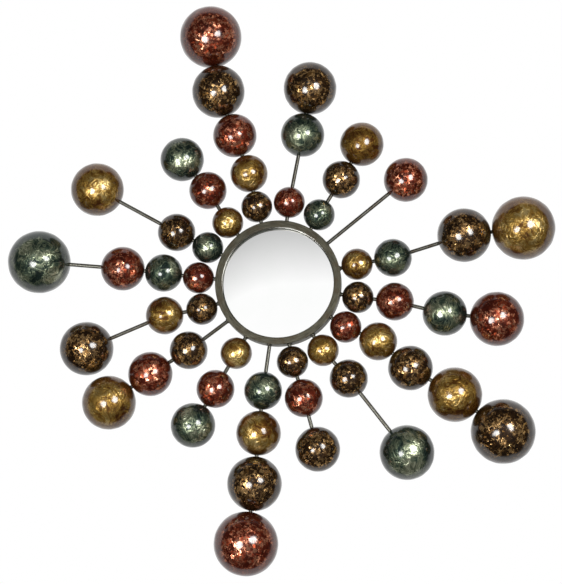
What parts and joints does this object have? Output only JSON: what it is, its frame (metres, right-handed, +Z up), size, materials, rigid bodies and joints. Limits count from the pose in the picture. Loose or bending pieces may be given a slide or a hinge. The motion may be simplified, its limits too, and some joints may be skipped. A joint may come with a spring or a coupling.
{
  "type": "starburst mirror",
  "caption": "Wall mirror: a small round glass in a deep metal ring, with bent rods radiating from it, strung with hollow leafed balls that grow outwards. Hangs by a keyholed bracket.",
  "frame": {"origin": "where the mirror's axis meets the wall, the middle of the hanger bracket's wall face", "axes": "+Z up, +Y into the wall; the front looks along -Y with +X to the viewer's right"},
  "size_m": [0.8659, 0.1, 0.9138],
  "materials": {
    "copper_leaf": "flecked copper leaf over a dark red ground, clear lacquer",
    "bronze_leaf": "flecked bronze leaf over a near-black brown ground, clear lacquer",
    "gold_leaf": "wrinkled pale gold leaf over an olive-brown ground, clear lacquer",
    "green_leaf": "veined pale leaf over a dark teal-green ground, clear lacquer",
    "dark_bronze": "brushed dark bronze lacquer",
    "rod_steel": "gunmetal, satin",
    "mirror": "silvered glass",
    "foam_tape": "white foam",
    "bed_board": "raw fibreboard",
    "back_paint": "satin black paint",
    "zinc": "zinc plated"
  },
  "bodies": {
    "root": {"ring_frame": "dark_bronze", "weld_beads": "rod_steel", "mirror_glass": "mirror", "tape_pads": "foam_tape", "mirror_bed": "bed_board", "back_panel": "back_paint", "panel_screws": "zinc", "hanger_bracket": "back_paint", "bracket_screws": "zinc", "spoke_01": "rod_steel", "spoke_02": "rod_steel", "spoke_03": "rod_steel", "spoke_04": "rod_steel", "spoke_05": "rod_steel", "spoke_06": "rod_steel", "spoke_07": "rod_steel", "spoke_08": "rod_steel", "spoke_09": "rod_steel", "spoke_10": "rod_steel", "spoke_11": "rod_steel", "spoke_12": "rod_steel", "spoke_13": "rod_steel", "spoke_14": "rod_steel", "spoke_15": "rod_steel", "spoke_16": "rod_steel", "bronze_balls_smallest": "bronze_leaf", "bronze_balls_small": "bronze_leaf", "bronze_balls_middle": "bronze_leaf", "bronze_balls_large": "bronze_leaf", "bronze_balls_largest": "bronze_leaf", "copper_balls_smallest": "copper_leaf", "copper_balls_small": "copper_leaf", "copper_balls_middle": "copper_leaf", "copper_balls_large": "copper_leaf", "copper_balls_largest": "copper_leaf", "gold_balls_smallest": "gold_leaf", "gold_balls_small": "gold_leaf", "gold_balls_middle": "gold_leaf", "gold_balls_large": "gold_leaf", "gold_balls_largest": "gold_leaf", "green_balls_smallest": "green_leaf", "green_balls_small": "green_leaf", "green_balls_middle": "green_leaf", "green_balls_large": "green_leaf", "green_balls_largest": "green_leaf"}
  },
  "joints": []
}
